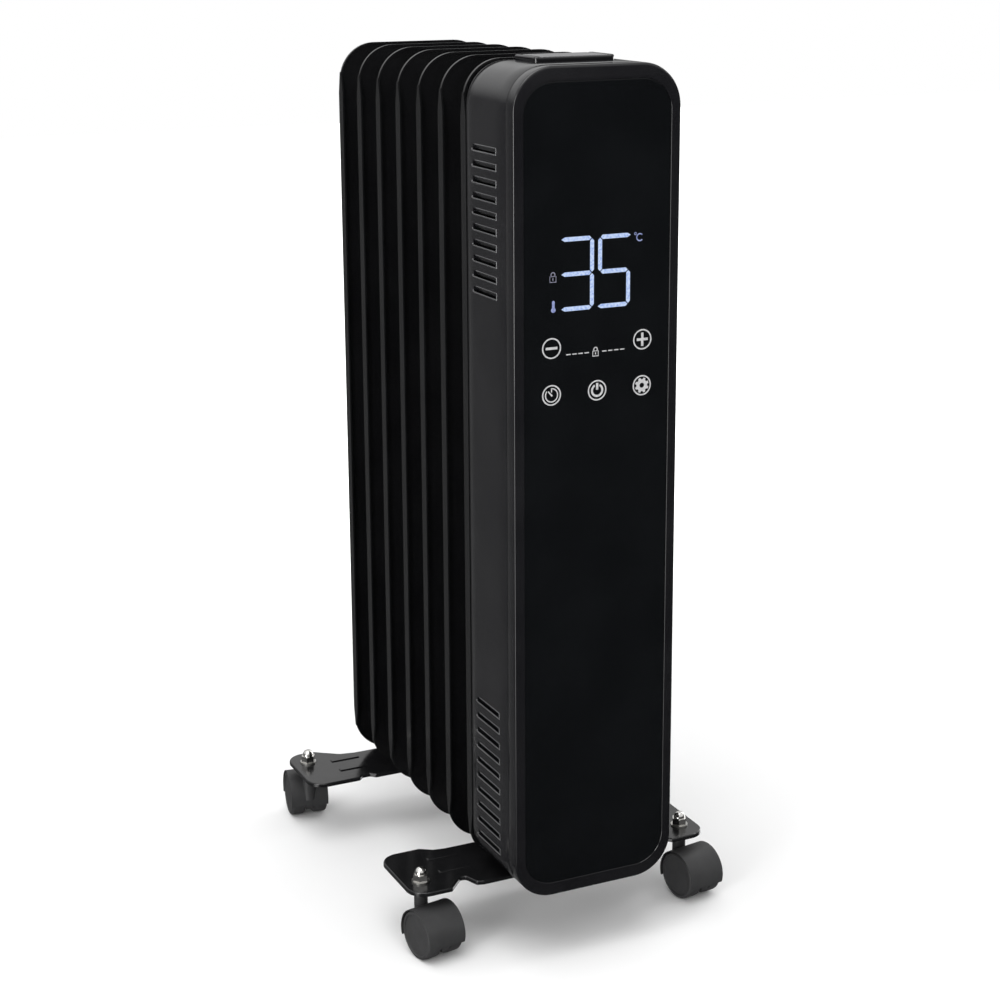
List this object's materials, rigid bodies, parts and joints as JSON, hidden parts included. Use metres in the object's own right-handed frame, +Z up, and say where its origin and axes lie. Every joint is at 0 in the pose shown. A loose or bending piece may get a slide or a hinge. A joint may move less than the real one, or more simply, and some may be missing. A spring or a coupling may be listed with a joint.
{
  "type": "oil filled radiator heater",
  "caption": "Slim black oil filled radiator: a row of rounded upright fins behind a tall housing with a black glass touch panel and lit display, on two foot brackets with twin wheel casters.",
  "frame": {"origin": "middle of the footprint box on the floor under the casters", "axes": "+X to the right seen from the front, the control panel faces -Y and the fins run back along +Y, +Z up"},
  "size_m": [0.2512, 0.3386, 0.6358],
  "materials": {
    "black_gloss": "gloss black",
    "black_glass": "gloss black, back printed",
    "board_green": "solder mask",
    "screw_steel": "zinc plated",
    "display_white": "white light box",
    "segment_light": "lit diffuser",
    "foam": "conductive foam",
    "shield_steel": "galvanised",
    "pad_grey": "satin dark grey",
    "relay_blue": "gloss",
    "core_grey": "laminated",
    "nylon_white": "satin",
    "bakelite": "satin",
    "element_steel": "plain",
    "gasket": "fibre",
    "ceramic": "glazed",
    "lead_cover": "silicone",
    "fin_black": "satin black powder coat",
    "bracket_black": "gloss black paint",
    "zinc": "zinc plated",
    "chrome": "polished",
    "caster_grey": "fine matt dark grey"
  },
  "bodies": {
    "heater": {"front_bezel": "black_gloss", "glass_panel": "black_glass", "display_board": "board_green", "board_screws": "screw_steel", "display_module": "display_white", "display_segments": "segment_light", "touch_pads": "foam", "rear_housing": "black_gloss", "rear_frame": "black_gloss", "housing_screws": "screw_steel", "heat_shield": "shield_steel", "shield_screw": "screw_steel", "top_handle": "black_gloss", "handle_pad": "pad_grey", "grip_cup": "black_gloss", "power_board": "board_green", "board_standoffs": "nylon_white", "relays": "relay_blue", "transformer": "core_grey", "tilt_switch": "nylon_white", "thermal_cutout": "bakelite", "temperature_probe": "bakelite", "terminal_block": "nylon_white", "cord_gland": "black_gloss", "heating_element": "element_steel", "element_gasket": "gasket", "terminal_insulators": "ceramic", "wiring": "lead_cover", "oil_plug": "zinc", "front_bracket": "bracket_black", "rear_bracket": "bracket_black", "u_bolts": "zinc", "u_bolt_nuts": "zinc", "caster_stems": "zinc", "stem_washers": "chrome", "dome_nuts": "chrome", "fin_1": "fin_black", "fin_2": "fin_black", "fin_3": "fin_black", "fin_4": "fin_black", "fin_5": "fin_black", "fin_6": "fin_black", "fin_7": "fin_black"},
    "caster_fl": {"caster_hood_fl": "caster_grey", "caster_axle_fl": "zinc"},
    "roller_fl_a": {"wheel_fl_a": "caster_grey"},
    "roller_fl_b": {"wheel_fl_b": "caster_grey"},
    "caster_fr": {"caster_hood_fr": "caster_grey", "caster_axle_fr": "zinc"},
    "roller_fr_a": {"wheel_fr_a": "caster_grey"},
    "roller_fr_b": {"wheel_fr_b": "caster_grey"},
    "caster_rl": {"caster_hood_rl": "caster_grey", "caster_axle_rl": "zinc"},
    "roller_rl_a": {"wheel_rl_a": "caster_grey"},
    "roller_rl_b": {"wheel_rl_b": "caster_grey"},
    "caster_rr": {"caster_hood_rr": "caster_grey", "caster_axle_rr": "zinc"},
    "roller_rr_a": {"wheel_rr_a": "caster_grey"},
    "roller_rr_b": {"wheel_rr_b": "caster_grey"}
  },
  "joints": [
    {"name": "swivel_fl", "type": "hinge", "parent": "heater", "child": "caster_fl", "pos_m": [-0.1075, -0.1034, 0.03], "axis": [0, 0, 1], "continuous": true},
    {"name": "roll_fl_a", "type": "hinge", "parent": "caster_fl", "child": "roller_fl_a", "pos_m": [-0.10481, -0.11866, 0.018], "axis": [0.9848, 0.1736, 0], "continuous": true},
    {"name": "roll_fl_b", "type": "hinge", "parent": "caster_fl", "child": "roller_fl_b", "pos_m": [-0.10481, -0.11866, 0.018], "axis": [0.9848, 0.1736, 0], "continuous": true},
    {"name": "swivel_fr", "type": "hinge", "parent": "heater", "child": "caster_fr", "pos_m": [0.1075, -0.1034, 0.03], "axis": [0, 0, 1], "continuous": true},
    {"name": "roll_fr_a", "type": "hinge", "parent": "caster_fr", "child": "roller_fr_a", "pos_m": [0.10992, -0.11871, 0.018], "axis": [0.9877, 0.1564, 0], "continuous": true},
    {"name": "roll_fr_b", "type": "hinge", "parent": "caster_fr", "child": "roller_fr_b", "pos_m": [0.10992, -0.11871, 0.018], "axis": [0.9877, 0.1564, 0], "continuous": true},
    {"name": "swivel_rl", "type": "hinge", "parent": "heater", "child": "caster_rl", "pos_m": [-0.1075, 0.1336, 0.03], "axis": [0, 0, 1], "continuous": true},
    {"name": "roll_rl_a", "type": "hinge", "parent": "caster_rl", "child": "roller_rl_a", "pos_m": [-0.10534, 0.14895, 0.018], "axis": [-0.9903, 0.1392, 0], "continuous": true},
    {"name": "roll_rl_b", "type": "hinge", "parent": "caster_rl", "child": "roller_rl_b", "pos_m": [-0.10534, 0.14895, 0.018], "axis": [-0.9903, 0.1392, 0], "continuous": true},
    {"name": "swivel_rr", "type": "hinge", "parent": "heater", "child": "caster_rr", "pos_m": [0.1075, 0.1336, 0.03], "axis": [0, 0, 1], "continuous": true},
    {"name": "roll_rr_a", "type": "hinge", "parent": "caster_rr", "child": "roller_rr_a", "pos_m": [0.10481, 0.14886, 0.018], "axis": [-0.9848, -0.1736, 0], "continuous": true},
    {"name": "roll_rr_b", "type": "hinge", "parent": "caster_rr", "child": "roller_rr_b", "pos_m": [0.10481, 0.14886, 0.018], "axis": [-0.9848, -0.1736, 0], "continuous": true}
  ]
}
